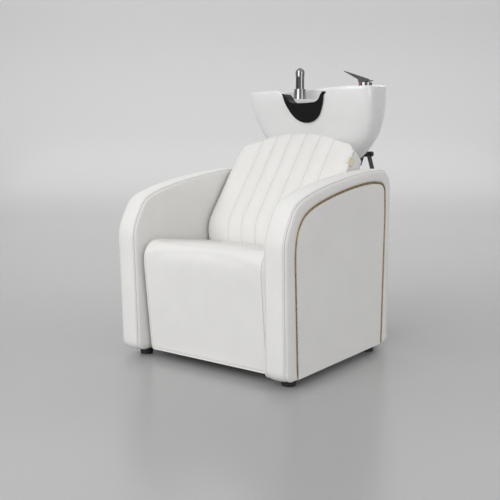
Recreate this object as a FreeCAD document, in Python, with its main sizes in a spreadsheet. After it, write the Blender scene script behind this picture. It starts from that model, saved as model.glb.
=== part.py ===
"""Backwash unit: an upholstered chair with a tilting ceramic shampoo bowl on a steel stand.

Frame: +Z up, the sitter faces -Y, +X is the sitter's left. Origin on the floor in the middle
of the overall box. Sizes in millimetres.
"""
import FreeCAD, Part
import math
import os
import re

V = FreeCAD.Vector
doc = FreeCAD.newDocument("BackwashUnit")
sheet = doc.addObject("Spreadsheet::Sheet", "Sizes")
ROWS = []


def size(name, value):
    """Write one named size into the sheet and give its value back."""
    row = len(ROWS) + 1
    ROWS.append(name)
    sheet.set("A%d" % row, name)
    sheet.set("B%d" % row, str(value))
    sheet.setAlias("B%d" % row, name)
    return float(value)


def bound(text):
    """Turn a formula in size names into one that reads the sheet."""
    return re.sub(r"[a-z_]+", lambda m: "Sizes." + m.group(0), text)


def box(name, length, width, height, x, y, z):
    piece = doc.addObject("Part::Box", name)
    for prop, text in (("Length", length), ("Width", width), ("Height", height),
                       ("Placement.Base.x", x), ("Placement.Base.y", y), ("Placement.Base.z", z)):
        piece.setExpression(prop, bound(text))
    return piece


def rod(name, radius, height, x, y, z, along="z"):
    """A cylinder whose axis starts at x, y, z."""
    piece = doc.addObject("Part::Cylinder", name)
    turn = {"z": FreeCAD.Rotation(), "x": FreeCAD.Rotation(V(0, 1, 0), 90),
            "y": FreeCAD.Rotation(V(1, 0, 0), -90)}[along]
    piece.Placement = FreeCAD.Placement(V(0, 0, 0), turn)
    for prop, text in (("Radius", radius), ("Height", height),
                       ("Placement.Base.x", x), ("Placement.Base.y", y), ("Placement.Base.z", z)):
        piece.setExpression(prop, bound(text))
    return piece


def cone(name, low, high, height, x, y, z):
    piece = doc.addObject("Part::Cone", name)
    for prop, text in (("Radius1", low), ("Radius2", high), ("Height", height),
                       ("Placement.Base.x", x), ("Placement.Base.y", y), ("Placement.Base.z", z)):
        piece.setExpression(prop, bound(text))
    return piece


def cut(name, base, *tools):
    if len(tools) == 1:
        tool = tools[0]
    else:
        tool = fuse(name + "_tools", *tools)
    piece = doc.addObject("Part::Cut", name)
    piece.Base = base
    piece.Tool = tool
    return piece


def fuse(name, *shapes):
    piece = doc.addObject("Part::MultiFuse", name)
    piece.Shapes = list(shapes)
    return piece


def group(name, *shapes):
    piece = doc.addObject("Part::Compound", name)
    piece.Links = list(shapes)
    return piece


def mirrored(name, source):
    """The same piece for the sitter's right."""
    piece = doc.addObject("Part::Mirroring", name)
    piece.Source = source
    piece.Normal = V(1, 0, 0)
    return piece


def feature(name, shape):
    piece = doc.addObject("Part::Feature", name)
    piece.Shape = shape
    return piece


def outline(path):
    """Edges of a closed outline. A tuple in the path is an arc through its first point to its second;
    a list is a smooth curve through its points, its last two vectors the start and end directions."""
    edges = []
    start = path[0]
    last = path[-1]
    shut = isinstance(last, tuple) and last[1] == path[0] or isinstance(last, list) and last[-3] == path[0]
    closing = [] if shut else [path[0]]
    for step in path[1:] + closing:
        if isinstance(step, tuple):
            via, end = step
            edges.append(Part.Arc(start, via, end))
        elif isinstance(step, list):
            end = step[-3]
            curve = Part.BSplineCurve()
            curve.interpolate(Points=[start] + step[:-2], InitialTangent=step[-2], FinalTangent=step[-1])
            edges.append(curve)
        else:
            end = step
            edges.append(Part.LineSegment(start, end))
        start = end
    return edges


def side_sketch(name, path):
    """A sketch in the side plane: its across is the unit's Y, its up is Z."""
    sketch = doc.addObject("Sketcher::SketchObject", name)
    sketch.addGeometry(outline(path), False)
    sketch.Placement = FreeCAD.Placement(V(0, 0, 0), FreeCAD.Rotation(V(1, 1, 1), 120))
    return sketch


def side_panel_solid(name, path, start, thickness):
    """Extrude a side outline across the unit from x = start."""
    sketch = side_sketch(name + "_outline", path)
    piece = doc.addObject("Part::Extrusion", name)
    piece.Base = sketch
    piece.DirMode = "Normal"
    piece.Solid = True
    sketch.setExpression("Placement.Base.x", bound(start))
    piece.setExpression("LengthFwd", bound(thickness))
    return piece


def at(y, z):
    """A point of a side sketch, y measured back from the arm fronts."""
    return V(front_y + y, z, 0)


# Overall sizes
front_y = size("front_y", -483)
half_width = size("half_width", 350)
fit = size("fit", 0.3)

# Arm sizes
arm_thickness = size("arm_thickness", 84)
arm_depth = size("arm_depth", 666)
arm_bottom = size("arm_bottom", 28)
arm_top = size("arm_top", 650)
arm_shoulder = size("arm_shoulder", 420)
arm_lean = size("arm_lean", 10)
arm_edge = size("arm_edge", 13)
board_thickness = size("board_thickness", 40)
board_inset = size("board_inset", 26)
recess_depth = size("recess_depth", 7)
panel_rise = size("panel_rise", 6.5)
groove_gap = size("groove_gap", 1.5)
strip_width = size("strip_width", 4)

# Seat sizes
seat_clear = size("seat_clear", 5)
seat_half = half_width - arm_thickness - seat_clear
seat_front = size("seat_front", 24)
apron_foot = size("apron_foot", 56)
seat_top = size("seat_top", 413)
seat_rear = size("seat_rear", 478)
seat_drop = size("seat_drop", 33)
rail_setback = size("rail_setback", 92)
rail_thickness = size("rail_thickness", 25)
rail_bottom = size("rail_bottom", 90)
deck_top = size("deck_top", 300)
deck_thickness = size("deck_thickness", 15)
rear_rail = size("rear_rail", 510)
apron_clear = size("apron_clear", 30)

# Backrest sizes
back_clear = size("back_clear", 14)
back_half = half_width - arm_thickness - back_clear
back_foot_y = size("back_foot_y", 338)
back_foot_z = size("back_foot_z", 402)
recline = size("recline", 36.5)
back_length = size("back_length", 470)
lean = math.radians(recline)
back_top_y = back_foot_y + back_length * math.sin(lean)
back_top_z = back_foot_z + back_length * math.cos(lean)
back_board_thickness = size("back_board_thickness", 16)
board_back = size("board_back", 182.8)
board_slope = size("board_slope", 0.4)
channels = 7
channel_rise = size("channel_rise", 7)

# Bowl sizes, placed from the top of the back
back_to_bowl = size("back_to_bowl", 4.4)
bowl_below_back = size("bowl_below_back", 97.8)
bowl_half = size("bowl_half", 270)
bowl_depth = size("bowl_depth", 338)
bowl_front = size("bowl_front", round(back_top_y + back_to_bowl, 1))
bowl_rear = size("bowl_rear", bowl_front + bowl_depth)
widest_back = size("widest_back", 78)
bowl_widest = bowl_front + widest_back
bowl_bottom = size("bowl_bottom", round(back_top_z - bowl_below_back, 1))
front_height = size("front_height", 264)
rear_height = size("rear_height", 303)
rim_front_z = bowl_bottom + front_height
rim_rear_z = bowl_bottom + rear_height
bowl_wall = size("bowl_wall", 13)
floor_thickness = size("floor_thickness", 22)
floor_z = size("floor_z", bowl_bottom + floor_thickness)
notch_half = size("notch_half", 82)
notch_drop = size("notch_drop", 60)
notch_flare = size("notch_flare", 75)
notch_z = rim_front_z - notch_drop
rest_thickness = size("rest_thickness", 9)
bib_drop = size("bib_drop", 64)
bib_z = notch_z - bib_drop
tap_x = size("tap_x", 150)
tap_ahead = size("tap_ahead", 130)
tap_y = size("tap_y", bowl_rear - tap_ahead)
tap_height = size("tap_height", 244)
tap_seat = size("tap_seat", bowl_bottom + tap_height)
tap_hole = size("tap_hole", 16)
tap_slab = size("tap_slab", 16)
basin_front = size("basin_front", 100)
basin_rear = size("basin_rear", 115)
drain_ahead = size("drain_ahead", 11.5)
drain_y = size("drain_y", (bowl_front + basin_front + bowl_rear - basin_rear) / 2 - drain_ahead)
drain_hole = size("drain_hole", 24)
pad_front = bowl_front + 113
pad_rear = bowl_front + 190
cradle_spots = ((-105, pad_front), (105, pad_front), (-100, pad_rear), (100, pad_rear))

# Stand sizes
chassis_x = size("chassis_x", 150)
tube = size("tube", 40)
tube_wall = size("tube_wall", 2.5)
chassis_front = size("chassis_front", 100)
post_radius = size("post_radius", 8.5)
post_ahead = size("post_ahead", 21)
post_y = size("post_y", bowl_rear - post_ahead)
chassis_rear = size("chassis_rear", post_y + 24)
post_lean = size("post_lean", 29.5)
pivot_ahead = size("pivot_ahead", 92)
pivot_rise = size("pivot_rise", 23)
pivot_y = size("pivot_y", bowl_rear - pivot_ahead)
pivot_z = size("pivot_z", bowl_bottom + pivot_rise)
bend_z = pivot_z - (post_y - pivot_y) / math.tan(math.radians(post_lean))
shaft_radius = size("shaft_radius", 6)
running = size("running", 0.05)
eye_radius = size("eye_radius", 11)
eye_inner = size("eye_inner", 125.3)
eye_outer = size("eye_outer", 160)
ear_thickness = size("ear_thickness", 10)
bush_radius = size("bush_radius", 8.5)

doc.recompute()

# Arm: a stapled ply board, an upholstered cover over it, a recessed outer panel and a brass strip
front_dir = at(0, arm_shoulder) - at(arm_lean, arm_bottom + 30)
front_dir.normalize()
arm_path = [at(arm_lean + 28, arm_bottom), at(arm_depth - 24, arm_bottom),
            [at(arm_depth, arm_bottom + 24), V(37, 0, 0), V(0, 37, 0)],
            at(arm_depth, arm_top - 66),
            [at(arm_depth - 17, arm_top - 21), at(arm_depth - 66, arm_top), V(0, 60, 0), V(-60, 0.6, 0)],
            [at(330, arm_top - 26), at(95, arm_top - 80), at(27, arm_top - 145), at(0, arm_shoulder),
             V(-260, 0, 0), front_dir * -90],
            at(arm_lean, arm_bottom + 30),
            [at(arm_lean + 28, arm_bottom), front_dir * -44, V(44, 0, 0)]]
arm_block = side_panel_solid("arm_block", arm_path, "half_width - arm_thickness", "arm_thickness")
doc.recompute()
rounded = doc.addObject("Part::Fillet", "arm_rounded")
rounded.Base = arm_block
flat_edges = []
for index, edge in enumerate(arm_block.Shape.Edges):
    if edge.BoundBox.XLength < 0.01:
        flat_edges.append((index + 1, arm_edge, arm_edge))
rounded.Edges = flat_edges
doc.recompute()

# The recess outline runs off the bottom so that strip and panel are open there
trim_path = [at(68, arm_bottom - 60), at(arm_depth - 48, arm_bottom - 60), at(arm_depth - 39, arm_top - 150),
             at(arm_depth - 44, arm_top - 75),
             (at(arm_depth - 62, arm_top - 49), at(arm_depth - 96, arm_top - 42)),
             at(arm_depth - 126, arm_top - 40), (at(330, arm_top - 62), at(140, arm_top - 108)),
             (at(68, arm_top - 165), at(50, arm_top - 260))]


def trim_slab(name, inset, thickness):
    """The trim outline drawn in by inset, as a slab standing on the recess floor."""
    edges = [edge.toShape() for edge in outline(trim_path)]
    wire = Part.Wire(edges)
    if inset:
        wire = wire.makeOffset2D(-inset)
    slab = Part.Face(wire).extrude(V(0, 0, thickness))
    slab.Placement = FreeCAD.Placement(V(half_width - recess_depth, 0, 0), FreeCAD.Rotation(V(1, 1, 1), 120))
    below = Part.makeBox(200, 2000, 400, V(half_width - 100, -1000, arm_bottom - 400))
    return feature(name, slab.cut(below))


recess = trim_slab("recess", 0, recess_depth + 5)
panel_outer = groove_gap + strip_width + groove_gap
left_side_panel = trim_slab("left_side_panel", panel_outer, panel_rise)
strip_block = trim_slab("strip_block", groove_gap, recess_depth - 0.5)
strip_core = trim_slab("strip_core", groove_gap + strip_width, recess_depth + 5)
left_trim_strip = cut("left_trim_strip", strip_block, strip_core)

board_path = [at(70, arm_bottom), at(arm_depth - 40, arm_bottom), at(arm_depth - 40, arm_top - 120),
              (at(arm_depth - 52, arm_top - 66), at(arm_depth - 90, arm_top - 50)),
              (at(340, arm_top - 78), at(150, arm_top - 125)),
              (at(88, arm_top - 180), at(70, arm_shoulder - 40))]
left_arm_board = side_panel_solid("arm_core", board_path, "half_width - arm_thickness + board_inset",
                                  "board_thickness")
pocket = side_panel_solid("arm_pocket", board_path, "half_width - arm_thickness + board_inset",
                          "board_thickness")
arm_bolt_spots = [(150, 150), (150, 240), (470, 150), (470, 240)]
bolt_shanks = []
bolt_holes = []
for number, (y, z) in enumerate(arm_bolt_spots):
    x = "half_width - arm_thickness - rail_thickness"
    head = rod("arm_bolt_head_%d" % number, "8", "5", x + " - 5", "front_y + %g" % y, "%g" % z, "x")
    shank = rod("arm_bolt_shank_%d" % number, "4", "rail_thickness + board_inset + 25", x,
                "front_y + %g" % y, "%g" % z, "x")
    bolt_shanks.append(fuse("arm_bolt_%d" % number, head, shank))
    bolt_holes.append(rod("arm_bolt_hole_%d" % number, "4.2", "rail_thickness + board_inset + 25.3", x,
                          "front_y + %g" % y, "%g" % z, "x"))
arm_drill = group("arm_drill", *bolt_holes)
bolt_set = group("bolt_set", *bolt_shanks)
group("arm_bolts", bolt_set, mirrored("arm_bolts_mirrored", bolt_set))

# Feet: black plastic glides, each with a wood screw up into the arm board
foot_names = []
foot_holes = []
foot_screws = []
for end, y in (("front", 87), ("rear", arm_depth - 76)):
    x = "half_width - 44"
    spot = "front_y + %g" % y
    blank = cone(end + "_foot_blank", "22", "25", "arm_bottom", x, spot, "0")
    bore = rod(end + "_foot_bore", "4.2", "arm_bottom", x, spot, "0")
    sink = rod(end + "_foot_sink", "9", "10", x, spot, "0")
    left_foot = cut("left_%s_foot" % end, blank, bore, sink)
    mirrored("right_%s_foot" % end, left_foot)
    foot_names += ["left_%s_foot" % end, "right_%s_foot" % end]
    head = rod(end + "_screw_head", "8", "5", x, spot, "5")
    shank = rod(end + "_screw_shank", "4", "arm_bottom + 22", x, spot, "10")
    foot_screws.append(fuse(end + "_screw", head, shank))
    foot_holes.append(rod(end + "_screw_hole", "4.2", "arm_bottom + 22.3", x, spot, "10"))
foot_drill = group("foot_drill", *foot_holes)
screw_pair = group("screw_pair", *foot_screws)
group("foot_screws", screw_pair, mirrored("foot_screws_mirrored", screw_pair))

left_board = cut("left_arm_board", left_arm_board, arm_drill, foot_drill)
left_cover = cut("left_arm_cover", rounded, recess, pocket, arm_drill, foot_drill)
for name, piece in (("right_arm_board", left_board), ("right_arm_cover", left_cover),
                    ("right_side_panel", left_side_panel), ("right_trim_strip", left_trim_strip)):
    mirrored(name, piece)

# Seat frame: two side rails bolted to the arms, a front and a rear rail, a ply deck on top
rail_height = "deck_top - deck_thickness - rail_bottom"
rail_blank = box("rail_blank", "rail_thickness", "rear_rail + rail_thickness - rail_setback", rail_height,
                 "half_width - arm_thickness - rail_thickness", "front_y + rail_setback", "rail_bottom")
left_side_rail = cut("left_side_rail", rail_blank, arm_drill)
mirrored("right_side_rail", left_side_rail)
between = "2 * (half_width - arm_thickness - rail_thickness)"
front_blank = box("front_rail_blank", between, "rail_thickness", rail_height,
    "0 - half_width + arm_thickness + rail_thickness", "front_y + rail_setback", "rail_bottom")
rear_blank = box("rear_rail_blank", between, "rail_thickness", rail_height,
    "0 - half_width + arm_thickness + rail_thickness", "front_y + rear_rail", "rail_bottom")
box("seat_deck", "2 * (half_width - arm_thickness)", "rear_rail + rail_thickness + 35 - rail_setback",
    "deck_thickness", "0 - half_width + arm_thickness", "front_y + rail_setback",
    "deck_top - deck_thickness")


# Seat cushion: one foam block that runs over the front edge and down as the apron
def seat_section(x, grow, crown):
    """Side outline of the cushion at x; grow draws the edges in, crown lifts the top."""
    back = front_y + rail_setback
    top = seat_top + crown + grow
    rear = seat_top - seat_drop + crown + grow
    points = [V(x, back, deck_top), V(x, back, apron_clear), V(x, front_y + apron_foot - grow, apron_clear),
              V(x, front_y + seat_front - grow - crown * 0.5, top - 58),
              V(x, front_y + seat_front + 12 - grow, top - 18), V(x, front_y + seat_front + 56, top),
              V(x, front_y + seat_rear, rear), V(x, front_y + seat_rear, deck_top)]
    edges = [Part.LineSegment(points[0], points[1]), Part.LineSegment(points[1], points[2]),
             Part.LineSegment(points[2], points[3]), Part.Arc(points[3], points[4], points[5]),
             Part.LineSegment(points[5], points[6]), Part.LineSegment(points[6], points[7]),
             Part.LineSegment(points[7], points[0])]
    return Part.Wire([edge.toShape() for edge in edges])


side_share = 0.95
middle = [seat_section(share * seat_half, grow, crown)
          for share, grow, crown in ((-side_share, -1, 0), (0, 0, 6), (side_share, -1, 0))]
seat_solid = Part.makeLoft(middle, True, False)
for side in (-1, 1):
    ends = [seat_section(side * seat_half * share, grow, 0)
            for share, grow in ((side_share, -1), (0.985, -4), (1, -10))]
    seat_solid = seat_solid.fuse(Part.makeLoft(ends, True, True))
seat_cushion = feature("seat_cushion", seat_solid)

# Back cushion: seven stitched channels on a wedge of foam, arched along the top
up_slope = V(0, math.sin(lean), math.cos(lean))
out_face = V(0, -math.cos(lean), math.sin(lean))
back_foot = V(0, front_y + back_foot_y, back_foot_z)


def board_y(z):
    """How far back the sloping board's front face lies at height z, from the arm fronts."""
    return back_foot_y + board_back + board_slope * (z - back_foot_z)


def back_thickness(v):
    """Depth of the wedge behind the front plane at v along the slope."""
    y = back_foot_y + v * math.sin(lean)
    z = back_foot_z + v * math.cos(lean)
    return (board_y(z) - y) / (math.cos(lean) + board_slope * math.sin(lean))


def back_section(v, narrow, puff):
    """Cut across the cushion at v: a flat back, drawn-in sides and seven channel arcs in front."""
    half = back_half - narrow
    origin = back_foot + up_slope * v
    depth = back_thickness(v)

    def spot(x, out):
        return origin + V(x, 0, 0) + out_face * out

    seams = [half * share for share in (-1, -0.625, -0.375, -0.125, 0.125, 0.375, 0.625, 1)]
    crown = [-12 + puff, -2, 0, 2, 2, 0, -2, -12 + puff]
    edges = []
    for k in range(channels):
        a = spot(seams[k], crown[k] - 4)
        b = spot(seams[k + 1], crown[k + 1] - 4)
        mid = spot((seams[k] + seams[k + 1]) / 2, (crown[k] + crown[k + 1]) / 2 - 4 + channel_rise)
        edges.append(Part.Arc(a, mid, b))
    right = spot(half, crown[-1] - 4)
    left = spot(-half, crown[0] - 4)
    back_right = spot(half - 6, -depth)
    back_left = spot(6 - half, -depth)
    edges.append(Part.LineSegment(right, back_right))
    edges.append(Part.LineSegment(back_right, back_left))
    edges.append(Part.LineSegment(back_left, left))
    return Part.Wire([edge.toShape() for edge in edges])


back_wires = []
for v, narrow, puff in ((-60, 2, 0), (100, 0, 2), (back_length - 220, 0, 2), (back_length - 90, 1, 2),
                       (back_length + 12, 4, 0)):
    back_wires.append(back_section(v, narrow, puff))
back_block = Part.makeLoft(back_wires, True, False)


def back_arch(width, top, corner, depth):
    """A block along the cushion's depth, ending at the arched top with rounded corners."""
    def spot(x, v):
        return back_foot + V(x, 0, 0) + up_slope * v + out_face * 80
    low = -150
    side = top - 44 - corner
    edges = [Part.LineSegment(spot(-width, low), spot(width, low)),
             Part.LineSegment(spot(width, low), spot(width, side)),
             Part.Arc(spot(width, side), spot(width - corner * 0.24, side + corner * 0.66),
                      spot(width - corner, side + corner)),
             Part.Arc(spot(width - corner, side + corner), spot(0, top), spot(corner - width, side + corner)),
             Part.Arc(spot(corner - width, side + corner), spot(corner * 0.24 - width, side + corner * 0.66),
                      spot(-width, side)),
             Part.LineSegment(spot(-width, side), spot(-width, low))]
    face = Part.Face(Part.Wire([edge.toShape() for edge in edges]))
    return face.extrude(out_face * -depth)


back_block = back_block.common(back_arch(back_half + 20, back_length, 52, 460))
seat_lift = seat_cushion.Shape.copy()
seat_lift.translate(V(0, 0, fit))
below_seat = Part.makeBox(800, 900, 360, V(-400, front_y, 0))
back_cushion = feature("back_cushion", back_block.cut(seat_lift).cut(below_seat))

# Back board: flat ply behind the foam, standing on the seat deck, with two steel angle brackets
slope = V(0, board_slope, 1).normalize()
rear_of_back = V(0, -slope.z, slope.y)
board_low = V(0, front_y + board_y(deck_top), deck_top)
board_span = (back_top_z - 30 - deck_top) / slope.z
corner = [board_low + V(-back_half + 14, 0, 0), board_low + V(back_half - 14, 0, 0)]
high = [point + slope * board_span for point in corner]
face = Part.Face(Part.makePolygon([corner[0], corner[1], high[1], high[0], corner[0]]))
plank = face.extrude(V(0, slope.z, -slope.y) * back_board_thickness)
arch = back_arch(back_half - 14, back_length - 14, 46, 460)
level = Part.makeBox(900, 900, 400, V(-450, front_y, deck_top - 400))
back_board = feature("back_board", plank.common(arch).cut(level))

foot_y = board_y(deck_top) + back_board_thickness / slope.z
leg = 3
bracket_rise = 130
bracket_path = [at(foot_y + fit, deck_top), at(foot_y + 52, deck_top), at(foot_y + 52, deck_top + leg),
                at(foot_y + fit + board_slope * leg + leg, deck_top + leg),
                at(foot_y + fit + board_slope * bracket_rise + leg, deck_top + bracket_rise),
                at(foot_y + fit + board_slope * bracket_rise, deck_top + bracket_rise)]
left_bracket = side_panel_solid("left_back_bracket", bracket_path, "120", "40")
group("back_brackets", left_bracket, mirrored("back_brackets_mirrored", left_bracket))

# Rear panel closes the chair between the arms, over the stand rails
box("rear_panel", "2 * (half_width - arm_thickness)", "15", "460", "0 - half_width + arm_thickness",
    "front_y + arm_depth - 30", "tube + 62")

# Sewn label loop, left plain
tag_foot = back_foot + up_slope * (back_length - 152) + out_face * -22
tag_a = tag_foot + V(back_half - 1, 0, 0)
tag_face = Part.Face(Part.makePolygon([tag_a, tag_a + out_face * 24, tag_a + out_face * 24 + up_slope * 30,
                                       tag_a + up_slope * 30, tag_a]))
tag_solid = tag_face.extrude(V(1.6, 0, 0))
tag_solid.translate(V(0.8, 0, 0))
side_label = feature("side_label", tag_solid.cut(back_cushion.Shape))

# Chassis: two steel floor rails under the seat frame, a cross tube, end plugs and rear glides
rail_z = "rail_bottom - tube"
rail_length = "chassis_rear - chassis_front"
rail_out = box("chassis_tube", "tube", rail_length, "tube", "chassis_x - tube / 2",
               "front_y + chassis_front", rail_z)
rail_in = box("chassis_hollow", "tube - 2 * tube_wall", rail_length, "tube - 2 * tube_wall",
              "chassis_x - tube / 2 + tube_wall", "front_y + chassis_front", rail_z + " + tube_wall")
chassis_bolts = []
chassis_holes = []
for number, y in enumerate((rail_setback + rail_thickness / 2, rear_rail + rail_thickness / 2)):
    spot = "front_y + %g" % y
    head = rod("chassis_bolt_head_%d" % number, "7", "5", "chassis_x", spot, rail_z + " - 5")
    shank = rod("chassis_bolt_shank_%d" % number, "4", "tube + 60", "chassis_x", spot, rail_z)
    chassis_bolts.append(fuse("chassis_bolt_%d" % number, head, shank))
    hole = rod("chassis_bolt_hole_%d" % number, "4.2", "tube + 60.3", "chassis_x", spot, rail_z)
    chassis_holes.append(hole)
chassis_drill = group("chassis_drill", *chassis_holes)
rail_drill = group("rail_drill", chassis_drill, mirrored("chassis_drill_mirrored", chassis_drill))
cut("seat_front_rail", front_blank, rail_drill)
cut("seat_rear_rail", rear_blank, rail_drill)
bolt_pair = group("bolt_pair", *chassis_bolts)
group("chassis_bolts", bolt_pair, mirrored("chassis_bolts_mirrored", bolt_pair))
left_chassis_rail = cut("left_chassis_rail", rail_out, rail_in, chassis_drill)
mirrored("right_chassis_rail", left_chassis_rail)
box("stand_cross_tube", "2 * chassis_x - tube", "tube", "tube", "0 - chassis_x + tube / 2",
    "front_y + post_y - 60 - tube", rail_z)
left_plug = fuse("left_end_plug",
                 box("plug_core", "tube - 2 * tube_wall - 2 * fit", "18", "tube - 2 * tube_wall - 2 * fit",
                     "chassis_x - tube / 2 + tube_wall + fit", "front_y + chassis_rear - 18",
                     rail_z + " + tube_wall + fit"),
                 box("plug_cap", "tube", "3", "tube", "chassis_x - tube / 2", "front_y + chassis_rear",
                     rail_z))
group("end_plugs", left_plug, mirrored("end_plugs_mirrored", left_plug))
left_glide = cone("left_rear_glide", "16", "18", rail_z, "chassis_x", "front_y + post_y - 30", "0")
group("rear_glides", left_glide, mirrored("rear_glides_mirrored", left_glide))

# Posts: bent chromed tubes on foot flanges, each with a cross eye for the tilt shaft
bend = math.radians(post_lean)
bend_radius = 90
tangent = bend_radius * math.tan(bend / 2)
low = V(chassis_x, front_y + post_y, rail_bottom)
knee = V(chassis_x, front_y + post_y, bend_z)
rise = V(0, -math.sin(bend), math.cos(bend))
eye = V(chassis_x, front_y + pivot_y, pivot_z)
bend_start = knee - V(0, 0, tangent)
bend_end = knee + rise * tangent
bend_centre = bend_start + V(0, -bend_radius, 0)
bend_middle = bend_centre + V(0, bend_radius * math.cos(bend / 2), bend_radius * math.sin(bend / 2))
top_length = (eye - bend_end).dot(rise)
path = Part.Wire([Part.LineSegment(low, bend_start).toShape(),
                  Part.Arc(bend_start, bend_middle, bend_end).toShape(),
                  Part.LineSegment(bend_end, bend_end + rise * top_length).toShape()])
ring = Part.Wire([Part.Circle(low, V(0, 0, 1), post_radius).toShape()])
bent = path.makePipeShell([ring], True, True)
flange = Part.makeCylinder(19, 5, low)
collar = Part.makeCylinder(13, 14, low)
eye_length = eye_outer - eye_inner
eye_blank = Part.makeCylinder(eye_radius, eye_length, V(eye_inner, eye.y, eye.z), V(1, 0, 0))
eye_bore = Part.makeCylinder(shaft_radius + running, 400, V(0, eye.y, eye.z), V(1, 0, 0))
post_solid = bent.fuse(eye_blank).fuse(flange).fuse(collar).cut(eye_bore).removeSplitter()
left_post = feature("left_post", post_solid)
mirrored("right_post", left_post)
left_pin = rod("left_tilt_pin", "shaft_radius", "eye_outer + 8 - eye_inner + 12", "eye_inner - 12",
               "front_y + pivot_y", "pivot_z", "x")
group("tilt_pins", left_pin, mirrored("tilt_pins_mirrored", left_pin))
nut_blank = doc.addObject("Part::Prism", "shaft_nut_blank")
nut_blank.Polygon = 6
nut_blank.Circumradius = 10
nut_blank.Height = 8
nut_spot = V(eye_outer, front_y + pivot_y, pivot_z)
nut_blank.Placement = FreeCAD.Placement(nut_spot, FreeCAD.Rotation(V(0, 1, 0), 90))
nut_bore = rod("nut_bore", "shaft_radius + running", "30", "eye_outer - 5", "front_y + pivot_y", "pivot_z",
               "x")
left_nut = cut("left_shaft_nut", nut_blank, nut_bore)
group("tilt_nuts", left_nut, mirrored("tilt_nuts_mirrored", left_nut))

# Bowl outline: wide front with soft corners, the rear drawn round


def bowl_ring(half, front, rear, widest, z, flat):
    """One level line of the bowl, as a closed smooth curve; flat squares its front."""
    points = []
    steps = 48
    for k in range(steps):
        turn = 2 * math.pi * k / steps
        across = math.sin(turn)
        along = math.cos(turn)
        if along < 0:
            power = 2.0 / flat
            reach = widest - front
        else:
            power = 0.94
            reach = rear - widest
        x = half * math.copysign(abs(across) ** (power if along < 0 else 0.94), across)
        y = widest + reach * math.copysign(abs(along) ** power, along)
        points.append(V(x, front_y + y, z))
    curve = Part.BSplineCurve()
    curve.interpolate(Points=points, PeriodicFlag=True)
    return Part.Wire([curve.toShape()])


# Each level line: height, how far it draws in at the sides, front, rear and widest place, squareness
BOWL_LEVELS = ((0, 120, 84, 118, 68, 2.2), (10, 102, 74, 102, 64, 2.4), (40, 70, 62, 80, 52, 2.8),
               (90, 34, 50, 46, 38, 3.6), (150, 11, 34, 20, 22, 4.4), (210, 0, 12, 5, 4, 4.8),
               (270, 0, 0, 0, 0, 4.8), (330, 2, 0, -3, 0, 4.8))


def bowl_body(grow):
    """The bowl's outside as a solid, every level line pushed out by grow."""
    rings = []
    for rise_z, side_in, front_in, rear_in, widest_in, flat in BOWL_LEVELS:
        half = bowl_half - side_in + grow
        front = bowl_front + front_in - grow
        rear = bowl_rear - rear_in + grow
        rings.append(bowl_ring(half, front, rear, bowl_widest + widest_in, bowl_bottom + rise_z, flat))
    return Part.makeLoft(rings, True, False)


def rim_z(y):
    """Height of the rim at y: level in front, rising to the rear."""
    share = (y - bowl_front) / bowl_depth
    return rim_front_z + (rim_rear_z - rim_front_z) * share * share


def under_rim(drop):
    """A block below the rim's sweep, drop lower than the rim."""
    start = bowl_front - 60
    end = bowl_rear + 60
    spots = []
    for y in (start, bowl_front + bowl_depth / 2, end):
        spots.append(V(-400, front_y + y, rim_z(y) - drop))
    low = bowl_bottom - 300
    edges = [Part.LineSegment(V(-400, front_y + start, low), V(-400, front_y + end, low)),
             Part.LineSegment(V(-400, front_y + end, low), spots[2]),
             Part.Arc(spots[2], spots[1], spots[0]),
             Part.LineSegment(spots[0], V(-400, front_y + start, low))]
    return Part.Face(Part.Wire([edge.toShape() for edge in edges])).extrude(V(800, 0, 0))


bowl_outside = bowl_body(0).common(under_rim(0))

# Basin: an egg that narrows between the two tap decks at the rear
BASIN_LEVELS = ((0, 175, basin_front, basin_rear, 70, 2.0), (14, 150, 86, 98, 62, 2.2),
                (60, 98, 70, 76, 46, 2.6), (130, 56, 54, 55, 28, 3.2),
                (200, 30, 28, 42, 10, 4.0), (320, 24, 15, 38, 2, 4.4))


def basin_ring(level):
    """One level line of the basin, drawn in between the tap decks."""
    rise_z, side_in, front_in, rear_in, widest_in, flat = level
    half = bowl_half - side_in
    front = bowl_front + front_in
    rear = bowl_rear - rear_in
    widest = bowl_widest + widest_in
    points = []
    steps = 48
    neck = tap_x - 46
    for k in range(steps):
        turn = 2 * math.pi * k / steps
        across = math.sin(turn)
        along = math.cos(turn)
        if along < 0:
            y = widest + (widest - front) * math.copysign(abs(along) ** (2.0 / flat), along)
            x = half * math.copysign(abs(across) ** (2.0 / flat), across)
        else:
            y = widest + (rear - widest) * along
            pinch = min(half, neck + 14) + (half - min(half, neck + 14)) * max(0.0, 1 - along * 2.1) ** 1.6
            x = math.copysign(abs(across) ** 0.8, across) * pinch
        points.append(V(x, front_y + y, floor_z + rise_z))
    curve = Part.BSplineCurve()
    curve.interpolate(Points=points, PeriodicFlag=True)
    return Part.Wire([curve.toShape()])


basin = Part.makeLoft([basin_ring(level) for level in BASIN_LEVELS], True, False)
deck_block = Part.makeBox(800, 800, 300, V(-400, front_y + bowl_front - 200, tap_seat))
deck_room = bowl_body(-bowl_wall).common(deck_block)
tap_holes = []
for side in (-1, 1):
    tap_holes.append(Part.makeCylinder(tap_hole, 200, V(side * tap_x, front_y + tap_y, tap_seat - 100)))
under_deck = []
for side in (-1, 1):
    low = V(side * tap_x, front_y + tap_y, tap_seat - tap_slab - tap_height)
    under_deck.append(Part.makeCylinder(27, tap_height, low))


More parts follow.
